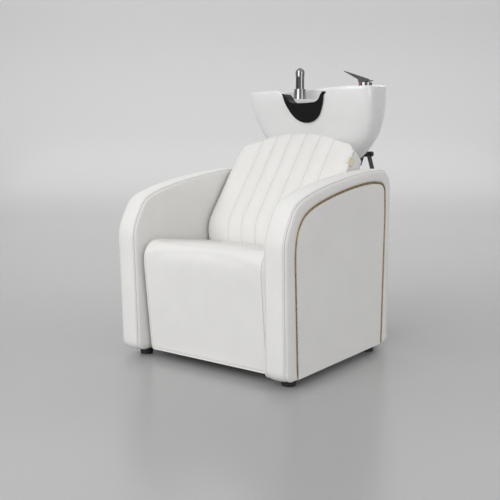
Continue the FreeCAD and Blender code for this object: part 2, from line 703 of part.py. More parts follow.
def notch_block(half, low, flare, start, depth):
    """The neck notch seen from the front, cut straight back."""
    top = rim_rear_z + 100
    y = front_y + start
    shoulder = rim_front_z + 2
    side = rim_front_z - 30
    right = [V(half + flare, y, shoulder), V(half + flare * 0.3, y, rim_front_z - 8), V(half, y, side),
             V(half - 10, y, low + 9), V(half - 36, y, low + 1.5)]
    left = [V(-point.x, y, point.z) for point in right]
    edges = [Part.LineSegment(left[0], V(-half - flare, y, top)),
             Part.LineSegment(V(-half - flare, y, top), V(half + flare, y, top)),
             Part.LineSegment(V(half + flare, y, top), right[0]),
             Part.Arc(right[0], right[1], right[2]),
             Part.Arc(right[2], right[3], right[4]),
             Part.Arc(right[4], V(0, y, low), left[4]),
             Part.Arc(left[4], left[3], left[2]),
             Part.Arc(left[2], left[1], left[0])]
    return Part.Face(Part.Wire([edge.toShape() for edge in edges])).extrude(V(0, depth, 0))


notch = notch_block(notch_half, notch_z, notch_flare, bowl_front - 80, 130)
drain = Part.makeCylinder(drain_hole, 80, V(0, front_y + drain_y, bowl_bottom - 30))
bowl_solid = bowl_outside.cut(basin).cut(deck_room)
for tool in tap_holes + under_deck + [notch, drain]:
    bowl_solid = bowl_solid.cut(tool)
for across, y in cradle_spots:
    hole = Part.makeCylinder(3.2, 8.3, V(across, front_y + y, bowl_bottom))
    bowl_solid = bowl_solid.cut(hole)
bowl = feature("bowl", bowl_solid)

# Neck rest: black moulded rubber saddled in the notch, its bib hanging over the bowl's front
inside = notch_block(notch_half - rest_thickness, notch_z + rest_thickness, notch_flare, bowl_front - 90,
                     200)
saddle = notch_block(notch_half - fit, notch_z + fit, notch_flare, bowl_front - 12, 62)
bib_top = rim_front_z - 16
bib_half = notch_half + 8
bib_waist = notch_half - 12
bib_low = bib_z + 46
bib_edges = [Part.LineSegment(V(-bib_half, 0, bib_top), V(bib_half, 0, bib_top)),
             Part.Arc(V(bib_half, 0, bib_top), V(bib_half - 4, 0, bib_top - 24), V(bib_waist, 0, bib_low)),
             Part.Arc(V(bib_waist, 0, bib_low), V(0, 0, bib_z), V(-bib_waist, 0, bib_low)),
             Part.Arc(V(-bib_waist, 0, bib_low), V(4 - bib_half, 0, bib_top - 24), V(-bib_half, 0, bib_top))]
bib = Part.Face(Part.Wire([edge.toShape() for edge in bib_edges])).extrude(V(0, 110, 0))
bib.translate(V(0, front_y + bowl_front - 40, 0))
skin = bowl_body(rest_thickness).cut(bowl_body(fit))
saddle = saddle.common(under_rim(14)).common(bowl_body(rest_thickness))
rest_solid = saddle.fuse(skin.common(bib)).cut(inside)
neck_rest = feature("neck_rest", rest_solid.removeSplitter())

# Waste: a chromed flange through the bowl floor, its seal, nut and tail, and a lift-out hair catcher
drain_spot = "front_y + drain_y"
lip = rod("waste_lip", "34", "3", "0", drain_spot, "floor_z")
sleeve = rod("waste_sleeve", "drain_hole - fit", "floor_z - bowl_bottom + 36", "0", drain_spot,
             "bowl_bottom - 36")
waste_bore = rod("waste_bore", "19", "200", "0", drain_spot, "bowl_bottom - 100")
cut("waste_flange", fuse("waste_blank", lip, sleeve), waste_bore)
seal_blank = rod("seal_blank", "36", "3", "0", drain_spot, "bowl_bottom - 3")
cut("waste_seal", seal_blank, rod("seal_bore", "drain_hole", "20", "0", drain_spot, "bowl_bottom - 10"))
waste_hex = doc.addObject("Part::Prism", "waste_hex")
waste_hex.Polygon = 6
waste_hex.Circumradius = 38
waste_hex.Height = 10
waste_hex.Placement = FreeCAD.Placement(V(0, front_y + drain_y, bowl_bottom - 13), FreeCAD.Rotation())
cut("waste_nut", waste_hex, rod("waste_nut_bore", "drain_hole", "40", "0", drain_spot, "bowl_bottom - 30"))
tail_out = fuse("tail_out", rod("tail_pipe", "20", "54", "0", drain_spot, "bowl_bottom - 90"),
                rod("tail_spigot", "19 - running", "14", "0", drain_spot, "bowl_bottom - 36"))
cut("waste_tail", tail_out, rod("tail_in", "16.5", "100", "0", drain_spot, "bowl_bottom - 100"))
catcher_rim = rod("catcher_rim", "25", "2", "0", drain_spot, "floor_z + 3 + fit")
catcher_wall = rod("catcher_wall", "18.5", "24", "0", drain_spot, "floor_z - 20")
catcher_in = rod("catcher_in", "17", "40", "0", drain_spot, "floor_z - 18.5")
catcher_holes = []
for k in range(6):
    turn = math.radians(60 * k)
    catcher_holes.append(rod("catcher_hole_%d" % k, "3", "30", "%.3f" % (10 * math.cos(turn)),
                             drain_spot + " + %.3f" % (10 * math.sin(turn)), "floor_z - 30"))
cut("hair_catcher", fuse("catcher_blank", catcher_rim, catcher_wall), catcher_in, *catcher_holes)

# Cradle: a steel plate under the bowl with two ears to the rear, bolted through rubber pads
plate = box("cradle_plate", "270", "130", "5", "0 - 135", "front_y + bowl_front + 90", "bowl_bottom - 10")
plate_hole = rod("cradle_hole", "50", "30", "0", drain_spot, "bowl_bottom - 20")
ear_path = [at(bowl_front + 118, bowl_bottom - 5), at(bowl_front + 118, bowl_bottom - 22),
            at(pivot_y - 12, bowl_bottom - 22), at(pivot_y + 14, pivot_z - 5), at(pivot_y + 14, pivot_z + 7),
            at(pivot_y, pivot_z + 14), at(pivot_y - 13, pivot_z + 7), at(pivot_y - 28, bowl_bottom + 8),
            at(pivot_y - 31, bowl_bottom - 5)]
ear_in = "eye_inner - fit - ear_thickness"
left_ear = side_panel_solid("cradle_ear", ear_path, ear_in, "ear_thickness")
right_ear = mirrored("cradle_ear_right", left_ear)
ear_bore = rod("ear_bore", "bush_radius + 0.02", "400", "0 - 200", "front_y + pivot_y", "pivot_z", "x")
pads = []
cradle_bolts = []
pad_holes = []
for number, (across, y) in enumerate(cradle_spots):
    spot = "front_y + %g" % y
    hole = rod("cradle_bolt_hole_%d" % number, "3.2", "40", "%g" % across, spot, "bowl_bottom - 20")
    pad_holes.append(hole)
    pad_blank = rod("pad_blank_%d" % number, "14", "5", "%g" % across, spot, "bowl_bottom - 5")
    pads.append(cut("pad_%d" % number, pad_blank, hole))
    head = rod("cradle_bolt_head_%d" % number, "6", "4", "%g" % across, spot, "bowl_bottom - 14")
    shank = rod("cradle_bolt_shank_%d" % number, "3", "18", "%g" % across, spot, "bowl_bottom - 10")
    cradle_bolts.append(fuse("cradle_bolt_%d" % number, head, shank))
group("bowl_pads", *pads)
group("cradle_bolts", *cradle_bolts)
cut("bowl_cradle", fuse("cradle_blank", plate, left_ear, right_ear), plate_hole, ear_bore, *pad_holes)
bush_blank = rod("bush_blank", "bush_radius", "ear_thickness", ear_in, "front_y + pivot_y", "pivot_z", "x")
bush_bore = rod("bush_bore", "shaft_radius + running", "40", ear_in + " - 5", "front_y + pivot_y", "pivot_z",
                "x")
left_bush = cut("left_tilt_bush", bush_blank, bush_bore)
group("tilt_bushes", left_bush, mirrored("tilt_bushes_mirrored", left_bush))

# Tap fixings shared by the mixer and the shower holder: a base seal, a washer and a back nut each
base_seals = []
washers = []
back_nuts = []
for name, x in (("mixer", "tap_x"), ("shower", "0 - tap_x")):
    spot = "front_y + tap_y"
    through = rod(name + "_through", "tap_hole", "200", x, spot, "tap_seat - 100")
    base_seal = cut(name + "_base_seal", rod(name + "_seal_blank", "27", "2", x, spot, "tap_seat"), through)
    base_seals.append(base_seal)
    washer_blank = rod(name + "_washer_blank", "24", "2", x, spot, "tap_seat - tap_slab - 2")
    washer = cut(name + "_washer", washer_blank, through)
    washers.append(washer)
    back_nut = doc.addObject("Part::Prism", name + "_nut_blank")
    back_nut.Polygon = 6
    back_nut.Circumradius = 23
    back_nut.Height = 9
    side = 1 if name == "mixer" else -1
    back_nut.Placement = FreeCAD.Placement(V(side * tap_x, front_y + tap_y, tap_seat - tap_slab - 11),
                                           FreeCAD.Rotation())
    back_nuts.append(cut(name + "_back_nut", back_nut, through))
group("tap_base_seals", *base_seals)
group("tap_washers", *washers)
group("tap_back_nuts", *back_nuts)

# Mixer: body with a threaded shank, cartridge, turning cap, lever on a cross pin, hot mark, two inlet tails
spot = "front_y + tap_y"
body_blank = fuse("mixer_blank", rod("mixer_drum", "26", "38", "tap_x", spot, "tap_seat + 2"),
                  rod("mixer_shank", "tap_hole - fit", "60", "tap_x", spot, "tap_seat - 48"))
tails = []
tail_bores = []
for number, across in enumerate((-7, 7)):
    x = "tap_x + %g" % across
    tail_bores.append(rod("inlet_bore_%d" % number, "4.6", "100", x, spot, "tap_seat - 60"))
    outside = rod("inlet_out_%d" % number, "4.5", "223", x, spot, "tap_seat - 217")
    hollow = rod("inlet_in_%d" % number, "3.5", "240", x, spot, "tap_seat - 220")
    tails.append(cut("inlet_%d" % number, outside, hollow))
group("mixer_inlet_tails", *tails)
cut("mixer_body", body_blank, rod("mixer_room", "19", "40", "tap_x", spot, "tap_seat + 7"), *tail_bores)
rod("mixer_cartridge", "19 - fit", "32", "tap_x", spot, "tap_seat + 7 + fit")
cap_z = tap_seat + 40 + fit
cap_low = "tap_seat + 40 + fit"
cap_blank = fuse("mixer_cap_blank", rod("cap_ring", "26", "10", "tap_x", spot, cap_low),
                 box("cap_lug", "14", "10", "20", "tap_x - 7", "front_y + tap_y - 5", cap_low + " + 2"))
pin_z = cap_low + " + 19.2"
mark_pocket = rod("mark_pocket", "3.2", "6", "tap_x - 8", "front_y + tap_y - 28", cap_low + " + 5", "y")
cut("mixer_cap", cap_blank, mark_pocket,
    rod("cap_pin_bore", "2", "60", "tap_x", "front_y + tap_y - 30", pin_z, "y"))
rod("mixer_hot_mark", "3", "3", "tap_x - 8", "front_y + tap_y - 25.2", cap_low + " + 5", "y")
rod("lever_pin", "1.95", "24", "tap_x", "front_y + tap_y - 12", pin_z, "y")


def lever_shape():
    """Side outline of the lever in the X-Z plane, tip towards the bowl's middle."""
    y = front_y + tap_y - 15
    z = cap_z
    points = [V(tap_x - 91, y, z + 58.5), V(tap_x - 92, y, z + 61.5), V(tap_x + 22, y, z + 21.6),
              V(tap_x + 26, y, z + 19.4), V(tap_x + 26, y, z + 17.2), V(tap_x + 2, y, z + 10.6),
              V(tap_x - 22, y, z + 10.6), V(tap_x - 26, y, z + 24)]
    blade = Part.Face(Part.makePolygon(points + [points[0]])).extrude(V(0, 30, 0))
    plan = [V(tap_x + 27, -15, 0), V(tap_x - 22, -15, 0), V(tap_x - 95, -8, 0),
            V(tap_x - 95, 8, 0), V(tap_x - 22, 15, 0), V(tap_x + 27, 15, 0)]
    plan = [point + V(0, front_y + tap_y, tap_seat - 50) for point in plan]
    waist = Part.Face(Part.makePolygon(plan + [plan[0]])).extrude(V(0, 0, 200))
    blade = blade.common(waist)
    slot = Part.makeBox(22, 10.6, 20, V(tap_x - 11, front_y + tap_y - 5.3, z + 4.2))
    bore = Part.makeCylinder(1.95 + running, 60, V(tap_x, front_y + tap_y - 30, z + 19.2), V(0, 1, 0))
    return blade.cut(slot).cut(bore)


feature("mixer_lever", lever_shape())

# Hand shower: a chromed handset with a dark front insert, standing in a tapered holder
across = "0 - tap_x"
holder_blank = fuse("holder_blank", cone("holder_cone", "26", "23.5", "40", across, spot, "tap_seat + 2"),
                    rod("holder_shank", "tap_hole - fit", "60", across, spot, "tap_seat - 48"))
cut("shower_holder", holder_blank, rod("holder_socket", "18.4", "60", across, spot, "tap_seat + 8"),
    rod("holder_bore", "10", "120", across, spot, "tap_seat - 60"))
handset = fuse("handset_blank", cone("shower_stem", "18", "17", "88", across, spot, "tap_seat + 8 + fit"),
               rod("shower_collar", "18.5", "14", across, spot, "tap_seat + 96"),
               rod("shower_nipple", "8", "24", across, spot, "tap_seat - 14"))
crown = doc.addObject("Part::Sphere", "shower_crown")
crown.Radius = 18.5
crown.Placement = FreeCAD.Placement(V(-tap_x, front_y + tap_y, tap_seat + 110), FreeCAD.Rotation())
crown_cap = doc.addObject("Part::Common", "shower_crown_cap")
crown_cap.Base = crown
crown_cap.Tool = box("crown_room", "60", "60", "17", across + " - 30", "front_y + tap_y - 30",
                     "tap_seat + 110")
insert_low = tap_seat + 48
insert_high = tap_seat + 86


def insert_plate(half, deep):
    """A stadium plate standing in the front of the handset, deep counted from its axis."""
    y = front_y + tap_y - 30
    edges = [Part.LineSegment(V(-tap_x - half, y, insert_low), V(-tap_x - half, y, insert_high)),
             Part.Arc(V(-tap_x - half, y, insert_high), V(-tap_x, y, insert_high + half),
                      V(-tap_x + half, y, insert_high)),
             Part.LineSegment(V(-tap_x + half, y, insert_high), V(-tap_x + half, y, insert_low)),
             Part.Arc(V(-tap_x + half, y, insert_low), V(-tap_x, y, insert_low - half),
                      V(-tap_x - half, y, insert_low))]
    return Part.Face(Part.Wire([edge.toShape() for edge in edges])).extrude(V(0, 30 - deep, 0))


handset_axis = V(-tap_x, front_y + tap_y, tap_seat)
insert_pocket = feature("insert_pocket", insert_plate(7.5, 13))
cut("shower_handle", fuse("shower_blank", handset, crown_cap), insert_pocket)
feature("shower_face", insert_plate(7.2, 13.2).common(Part.makeCylinder(17.9, 120, handset_axis)))

# Write every piece to its own file
NODES = ["left_arm_board", "right_arm_board", "left_arm_cover", "right_arm_cover", "left_side_panel",
         "right_side_panel", "left_trim_strip", "right_trim_strip", "arm_bolts", "left_front_foot",
         "right_front_foot", "left_rear_foot", "right_rear_foot", "foot_screws", "left_side_rail",
         "right_side_rail", "seat_front_rail", "seat_rear_rail", "seat_deck", "seat_cushion", "back_cushion",
         "back_board", "back_brackets", "rear_panel", "side_label", "left_chassis_rail", "right_chassis_rail",
         "chassis_bolts", "stand_cross_tube", "end_plugs", "rear_glides", "left_post", "right_post",
         "tilt_pins", "tilt_nuts", "tilt_bushes", "bowl", "neck_rest", "waste_flange", "waste_seal",
         "waste_nut", "waste_tail", "hair_catcher", "bowl_cradle", "bowl_pads", "cradle_bolts",
         "tap_base_seals", "tap_washers", "tap_back_nuts", "mixer_body", "mixer_cartridge", "mixer_cap",
         "mixer_lever", "lever_pin", "mixer_hot_mark", "mixer_inlet_tails", "shower_holder",
         "shower_handle", "shower_face"]
doc.recompute()
for piece in doc.Objects:
    if "Invalid" in piece.State or "Error" in piece.State:
        raise RuntimeError("recompute failed: " + piece.Label)
os.makedirs("parts", exist_ok=True)
for label in NODES:
    piece = doc.getObjectsByLabel(label)[0]
    shape = piece.Shape
    if shape.isNull() or not shape.isValid():
        raise RuntimeError("bad shape: " + label)
    shape.exportStep("parts/%s.step" % label)
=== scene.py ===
import bpy
import bmesh
import math
import numpy as np
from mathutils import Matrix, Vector


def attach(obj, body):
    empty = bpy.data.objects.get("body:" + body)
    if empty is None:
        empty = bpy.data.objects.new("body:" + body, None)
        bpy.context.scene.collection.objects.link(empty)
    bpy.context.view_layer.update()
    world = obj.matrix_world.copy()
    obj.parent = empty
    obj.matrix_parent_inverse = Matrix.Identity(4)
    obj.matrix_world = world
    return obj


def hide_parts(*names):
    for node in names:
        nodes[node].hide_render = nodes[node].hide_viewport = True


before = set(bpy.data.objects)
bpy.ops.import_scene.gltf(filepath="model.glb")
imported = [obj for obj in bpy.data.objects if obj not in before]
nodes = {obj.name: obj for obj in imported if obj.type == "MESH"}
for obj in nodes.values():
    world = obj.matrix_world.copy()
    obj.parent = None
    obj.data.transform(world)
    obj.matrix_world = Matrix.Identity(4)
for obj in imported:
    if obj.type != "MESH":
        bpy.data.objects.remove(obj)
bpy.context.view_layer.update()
scene = bpy.context.scene

# Camera: a normal lens a little below the bowl's rim, well round to the sitter's left.
# Place, turn and lens come from fitting both arms, the feet and the seat to the photo.
view_turn = math.radians(37.18)
camera = bpy.data.objects.new("camera", bpy.data.cameras.new("camera"))
scene.collection.objects.link(camera)
camera.location = (1.495, -2.160, 0.691)
camera.rotation_euler = (math.radians(90 - 7.35), 0, view_turn)
camera.data.sensor_width = 36
camera.data.lens = 51.55
scene.camera = camera
scene.view_settings.view_transform = "Standard"

# Studio: one sheet of coated grey paper, floor swept up into a wall, squared to the camera.
# Its colour is painted from dark on the near floor to light on the wall, a painted falloff of light and
# shade, and its coating mirrors the chair softly.
floor_start, floor_end, bend, wall_top, half_wide = -7.0, 3.2, 2.2, 9.0, 14
bend_steps = 12
sweep = [(floor_start, 0.0), (floor_end, 0.0)]
for step in range(1, bend_steps + 1):
    turn = math.radians(90 / bend_steps * step)
    sweep.append((floor_end + bend * math.sin(turn), bend - bend * math.cos(turn)))
sweep.append((floor_end + bend, wall_top))
bm = bmesh.new()
rows = []
for reach, height in sweep:
    rows.append([bm.verts.new((side, reach, height)) for side in (-half_wide, half_wide)])
for low, high in zip(rows, rows[1:]):
    bm.faces.new((low[0], low[1], high[1], high[0]))
mesh = bpy.data.meshes.new("studio_sheet")
bm.to_mesh(mesh)
bm.free()
mesh.polygons.foreach_set("use_smooth", [True] * len(mesh.polygons))
studio = bpy.data.objects.new("studio_sheet", mesh)
studio.rotation_euler = (0, 0, view_turn)
scene.collection.objects.link(studio)
paper = bpy.data.materials.new("studio_paper_painted_falloff")
paper.use_nodes = True
tree = paper.node_tree
shader = tree.nodes["Principled BSDF"]
place = tree.nodes.new("ShaderNodeTexCoord")
split = tree.nodes.new("ShaderNodeSeparateXYZ")
reach = tree.nodes.new("ShaderNodeMapRange")
reach.inputs["From Min"].default_value = -1.5
reach.inputs["From Max"].default_value = 5.5
# Painted light and shade: this ramp darkens the paper near the chair and lightens it towards the wall, in
# place of the lamps' falloff.
tone = tree.nodes.new("ShaderNodeValToRGB")
tone.color_ramp.elements[0].color = (0.36, 0.36, 0.365, 1)
tone.color_ramp.elements[1].color = (0.88, 0.88, 0.885, 1)
for mark, grey in ((0.20, 0.43), (0.38, 0.50), (0.62, 0.56), (0.78, 0.605)):
    tone.color_ramp.elements.new(mark).color = (grey, grey, grey * 1.01, 1)
tree.links.new(place.outputs["Object"], split.inputs["Vector"])
tree.links.new(split.outputs["Y"], reach.inputs["Value"])
tree.links.new(reach.outputs["Result"], tone.inputs["Fac"])
tree.links.new(tone.outputs["Color"], shader.inputs["Base Color"])
shader.inputs["Roughness"].default_value = 0.25
shader.inputs["Specular IOR Level"].default_value = 0.42
studio.data.materials.append(paper)

# Light: a broad soft key in front of the chair, a weak fill from the right and a softbox high behind
# that the floor mirrors, under a pale ceiling that falls off to a dim room at eye level.
lamps = (("key", (-0.3, -4.2, 2.1), (0, 0, 0.5), 3.2, 3.0, 94),
         ("fill", (3.6, -0.5, 0.9), (0, 0, 0.6), 1.8, 1.8, 19),
         ("rear", (-2.95, 3.9, 3.6), (0, 0, 0.3), 7.0, 2.8, 83))
for name, place, aim, wide, high, power in lamps:
    light = bpy.data.objects.new(name, bpy.data.lights.new(name, "AREA"))
    light.data.shape = "RECTANGLE"
    light.data.size = wide
    light.data.size_y = high
    light.data.energy = power
    light.location = place
    light.visible_camera = False
    light.rotation_euler = (Vector(aim) - Vector(place)).to_track_quat("-Z", "Y").to_euler()
    scene.collection.objects.link(light)
world = bpy.data.worlds.new("room")
world.use_nodes = True
tree = world.node_tree
place = tree.nodes.new("ShaderNodeTexCoord")
split = tree.nodes.new("ShaderNodeSeparateXYZ")
ceiling = tree.nodes.new("ShaderNodeValToRGB")
ceiling.color_ramp.elements[0].position = 0.05
ceiling.color_ramp.elements[0].color = (0.40, 0.40, 0.405, 1)
ceiling.color_ramp.elements[1].position = 0.45
ceiling.color_ramp.elements[1].color = (1.0, 0.995, 0.985, 1)
tree.links.new(place.outputs["Generated"], split.inputs["Vector"])
tree.links.new(split.outputs["Z"], ceiling.inputs["Fac"])
tree.links.new(ceiling.outputs["Color"], tree.nodes["Background"].inputs["Color"])
tree.nodes["Background"].inputs["Strength"].default_value = 0.71
scene.world = world


# Wooden frame: birch ply arm boards, rails and seat deck, sawn and glued up,
# bare under the covers, with the face veneer's grain and a pale sanded surface.
def even(material, socket, value):
    """Sets one of the shader's own sockets to the same value all over."""
    material.node_tree.nodes["Principled BSDF"].inputs[socket].default_value = value


def start_material(name, metal=0.0):
    """A new material and its object coordinates."""
    material = bpy.data.materials.new(name)
    material.use_nodes = True
    even(material, "Metallic", metal)
    place = material.node_tree.nodes.new("ShaderNodeTexCoord")
    return material, place.outputs["Object"]


def tinted(material, source, dark, light, low=0.3, high=0.7):
    """Colours the shader between two tones by a texture's value."""
    tree = material.node_tree
    tone = tree.nodes.new("ShaderNodeValToRGB")
    tone.color_ramp.elements[0].position = low
    tone.color_ramp.elements[1].position = high
    tone.color_ramp.elements[0].color = (*dark, 1)
    tone.color_ramp.elements[1].color = (*light, 1)
    tree.links.new(source, tone.inputs["Fac"])
    tree.links.new(tone.outputs["Color"], tree.nodes["Principled BSDF"].inputs["Base Color"])


def sheened(material, source, least, most):
    """Lets the roughness drift between two values with a texture."""
    tree = material.node_tree
    shine = tree.nodes.new("ShaderNodeMapRange")
    shine.inputs["From Min"].default_value = 0.3
    shine.inputs["From Max"].default_value = 0.7
    shine.inputs["To Min"].default_value = least
    shine.inputs["To Max"].default_value = most
    tree.links.new(source, shine.inputs["Value"])
    tree.links.new(shine.outputs["Result"], tree.nodes["Principled BSDF"].inputs["Roughness"])


def raised(material, source, strength, distance):
    """Bumps the surface by a texture's value."""
    tree = material.node_tree
    bump = tree.nodes.new("ShaderNodeBump")
    bump.inputs["Strength"].default_value = strength
    bump.inputs["Distance"].default_value = distance
    tree.links.new(source, bump.inputs["Height"])
    tree.links.new(bump.outputs["Normal"], tree.nodes["Principled BSDF"].inputs["Normal"])


def speckle(material, place, scale, detail=3.0, stretch=(1, 1, 1)):
    """Noise at a scale, drawn out along an axis if asked."""
    tree = material.node_tree
    noise = tree.nodes.new("ShaderNodeTexNoise")
    noise.inputs["Scale"].default_value = scale
    noise.inputs["Detail"].default_value = detail
    if stretch == (1, 1, 1):
        tree.links.new(place, noise.inputs["Vector"])
    else:
        drawn = tree.nodes.new("ShaderNodeMapping")
        drawn.inputs["Scale"].default_value = stretch
        tree.links.new(place, drawn.inputs["Vector"])
        tree.links.new(drawn.outputs["Vector"], noise.inputs["Vector"])
    return noise.outputs["Fac"]


def coat(material, *names):
    """Gives CAD pieces that keep their shape this material."""
    for name in names:
        nodes[name].data.materials.clear()
        nodes[name].data.materials.append(material)


birch, place = start_material("birch_ply")
veneer = speckle(birch, place, 14, 6, (1, 0.12, 1.6))
tinted(birch, veneer, (0.50, 0.36, 0.21), (0.70, 0.54, 0.35), 0.35, 0.62)
sheened(birch, veneer, 0.55, 0.7)
raised(birch, veneer, 0.3, 0.0006)
coat(birch, "left_arm_board", "right_arm_board", "left_side_rail", "right_side_rail", "seat_front_rail",
     "seat_rear_rail", "seat_deck")

# Feet and fixings: moulded black plastic feet with a fine spark texture, screwed up into the boards,
# and bright zinc-plated bolts, screws, brackets and washers.
moulded, place = start_material("moulded_black")
spark = speckle(moulded, place, 1400, 2)
tinted(moulded, speckle(moulded, place, 40), (0.012, 0.012, 0.013), (0.022, 0.022, 0.023))
sheened(moulded, spark, 0.34, 0.5)
raised(moulded, spark, 0.25, 0.0003)
coat(moulded, "left_front_foot", "right_front_foot", "left_rear_foot", "right_rear_foot", "end_plugs",
     "rear_glides")
zinc, place = start_material("zinc_plate", metal=1)
spangle = speckle(zinc, place, 220, 4)
tinted(zinc, spangle, (0.48, 0.49, 0.50), (0.66, 0.67, 0.68))
sheened(zinc, spangle, 0.26, 0.42)
coat(zinc, "arm_bolts", "foot_screws", "chassis_bolts", "cradle_bolts", "back_brackets",
     "tap_washers")

# Covers: white synthetic leather, a coated cloth with a fine pressed grain and a satin face,
# one roll for arms, side panels, seat, back and rear panel, sewn with piping of the same and grey thread,
# the thread's grey partly painted shade along the back's channel seams.
leather, place = start_material("white_leather")
cells = leather.node_tree.nodes.new("ShaderNodeTexVoronoi")
cells.inputs["Scale"].default_value = 780
leather.node_tree.links.new(place, cells.inputs["Vector"])
handling = speckle(leather, place, 9)
tinted(leather, handling, (0.785, 0.78, 0.762), (0.815, 0.81, 0.795))
sheened(leather, handling, 0.52, 0.62)
raised(leather, cells.outputs["Distance"], 0.16, 0.0004)
even(leather, "Specular IOR Level", 0.24)
cord, place = start_material("leather_piping")
pull = speckle(cord, place, 300)
tinted(cord, pull, (0.74, 0.735, 0.715), (0.80, 0.795, 0.78))
sheened(cord, pull, 0.42, 0.55)
raised(cord, pull, 0.2, 0.0004)
# Thread: a real stitch, coloured darker than the leather as painted shade in the seam grooves.
seam_shade_thread, place = start_material("sewing_thread_painted_seam_shade")
twist = speckle(seam_shade_thread, place, 1500, 2)
tinted(seam_shade_thread, twist, (0.50, 0.495, 0.48), (0.66, 0.655, 0.64))
raised(seam_shade_thread, twist, 0.3, 0.0003)
even(seam_shade_thread, "Roughness", 0.7)


def add_mesh(name, rings, closed, material, body, flip=False):
    """A smooth surface through rings of points; closed joins each ring's end to its start."""
    count = len(rings[0])
    faces = []
    for i in range(len(rings) - 1):
        for j in range(count if closed else count - 1):
            a, b = i * count + j, i * count + (j + 1) % count
            faces.append((a, b, b + count, a + count))
    mesh = bpy.data.meshes.new(name)
    mesh.from_pydata([tuple(point) for ring in rings for point in ring], [], faces)
    if flip:
        mesh.flip_normals()
    mesh.polygons.foreach_set("use_smooth", [True] * len(mesh.polygons))
    mesh.materials.append(material)
    obj = bpy.data.objects.new(name, mesh)
    scene.collection.objects.link(obj)
    if body:
        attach(obj, body)
    return obj


def add_piping(name, points, radius, body, material=cord):
    """A thin round cord, sewn into a seam or laid in a groove, along the points."""
    curve = bpy.data.curves.new(name, "CURVE")
    curve.dimensions = "3D"
    curve.bevel_depth = 1.0
    curve.bevel_resolution = 2
    curve.use_fill_caps = True
    line = curve.splines.new("POLY")
    line.points.add(len(points) - 1)
    for knot, point in zip(line.points, points):
        knot.co = (*point, 1)
        knot.radius = radius
    line.use_smooth = True
    curve.materials.append(material)
    obj = bpy.data.objects.new(name, curve)
    scene.collection.objects.link(obj)
    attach(obj, body)
    return obj


# Arms: each ply board is wrapped in foam and a cover sewn from two sides and a band that runs over
# front, top and rear, with piping along both edges and a shallow recess in the outer face.
front, arm_foot, trim_low = -0.483, 0.028, 0.0285


def eased(points, first, last, steps=14):
    """A smooth line through points, leaving along first and arriving along last."""
    points = [np.array(p, float) for p in points]
    slopes = [np.array(first, float)]
    for before, after in zip(points, points[2:]):
        slopes.append((after - before) / 2)
    slopes.append(np.array(last, float))
    line = []
    for a, b, s, e in zip(points, points[1:], slopes, slopes[1:]):
        for t in np.linspace(0, 1, steps, endpoint=False):
            line.append((2 * t**3 - 3 * t**2 + 1) * a + (t**3 - 2 * t**2 + t) * s
                        + (3 * t**2 - 2 * t**3) * b + (t**3 - t**2) * e)
    line.append(points[-1])
    return line


def spread_out(line, gap):
    """The same line with points every gap or so."""
    line = np.array(line)
    steps = np.linalg.norm(np.diff(line, axis=0), axis=1)
    along = np.concatenate([[0], np.cumsum(steps)])
    marks = np.linspace(0, along[-1], max(2, int(along[-1] / gap)))
    return np.stack([np.interp(marks, along, line[:, k]) for k in (0, 1)], axis=1)


arm_line = [(0.642, arm_foot)]
arm_line += eased([(0.642, arm_foot), (0.666, 0.052)], (0.037, 0), (0, 0.037), 8)
arm_line += eased([(0.666, 0.584), (0.649, 0.629), (0.600, 0.650)], (0, 0.06), (-0.06, 0.0006), 8)
arm_line += eased([(0.600, 0.650), (0.330, 0.624), (0.095, 0.570), (0.027, 0.505), (0.0, 0.420)],
                  (-0.26, 0), (0.0023, -0.09))
arm_line += eased([(0.010, 0.058), (0.038, arm_foot)], (0.001, -0.044), (0.044, 0), 8)
arm_line.append((0.642, arm_foot))
trim_line = [(0.618, trim_low), (0.627, 0.500), (0.622, 0.575)]
trim_line += eased([(0.622, 0.575), (0.604, 0.601), (0.570, 0.608)], (-0.002, 0.03), (-0.04, 0.003), 8)
trim_line += eased([(0.540, 0.610), (0.330, 0.588), (0.140, 0.542), (0.068, 0.485), (0.050, 0.390)],
                   (-0.2, 0.0), (0.0, -0.1))
trim_line += [(0.068, trim_low), (0.618, trim_low)]
arm_middle = np.array((0.33, 0.30))


def on_rays(line, angles):
    """Where rays from the arm's middle, at these angles, cross a line round it."""
    line = spread_out(line, 0.002) - arm_middle
    turn = np.unwrap(np.arctan2(line[:, 1], line[:, 0]))
    reach = np.hypot(line[:, 0], line[:, 1])
    order = np.argsort(turn)
    turn, reach = turn[order], reach[order]
    turn = np.concatenate([turn - 2 * np.pi, turn, turn + 2 * np.pi])
    reach = np.interp(angles, turn, np.tile(reach, 3))
    return arm_middle + np.stack([reach * np.cos(angles), reach * np.sin(angles)], axis=1)


def drawn_in(ring, inset):
    """A closed ring of points moved inward by inset."""
    ahead = np.roll(ring, -1, axis=0) - np.roll(ring, 1, axis=0)
    ahead /= np.linalg.norm(ahead, axis=1)[:, None]
    return ring + np.reshape(inset, (-1, 1)) * np.stack([-ahead[:, 1], ahead[:, 0]], axis=1)


spokes = spread_out(arm_line, 0.0085)[:-1] - arm_middle
arm_angles = np.unwrap(np.arctan2(spokes[:, 1], spokes[:, 0]))
arm_ring = on_rays(arm_line, arm_angles)
trim_ring = on_rays(trim_line, arm_angles)
inner_x, outer_x, edge, crease = 0.266, 0.350, 0.015, 0.0034
recess, recess_draft, recess_lap = 0.007, 0.0004, 0.03
inner_swell, band_swell, border_swell = 0.004, 0.0025, 0.0012


def lift(ring, x, side):
    """Arm points (y back from the front, z) set at x on one side of the chair."""
    return [(side * x, front + y, z) for y, z in ring]


def over_the_top(points, foot):
    """Points round the arm in order from the rear foot over the top to the front foot."""
    return sorted(points, key=lambda p: math.atan2(p[1] - foot, p[0] - arm_middle[0]))


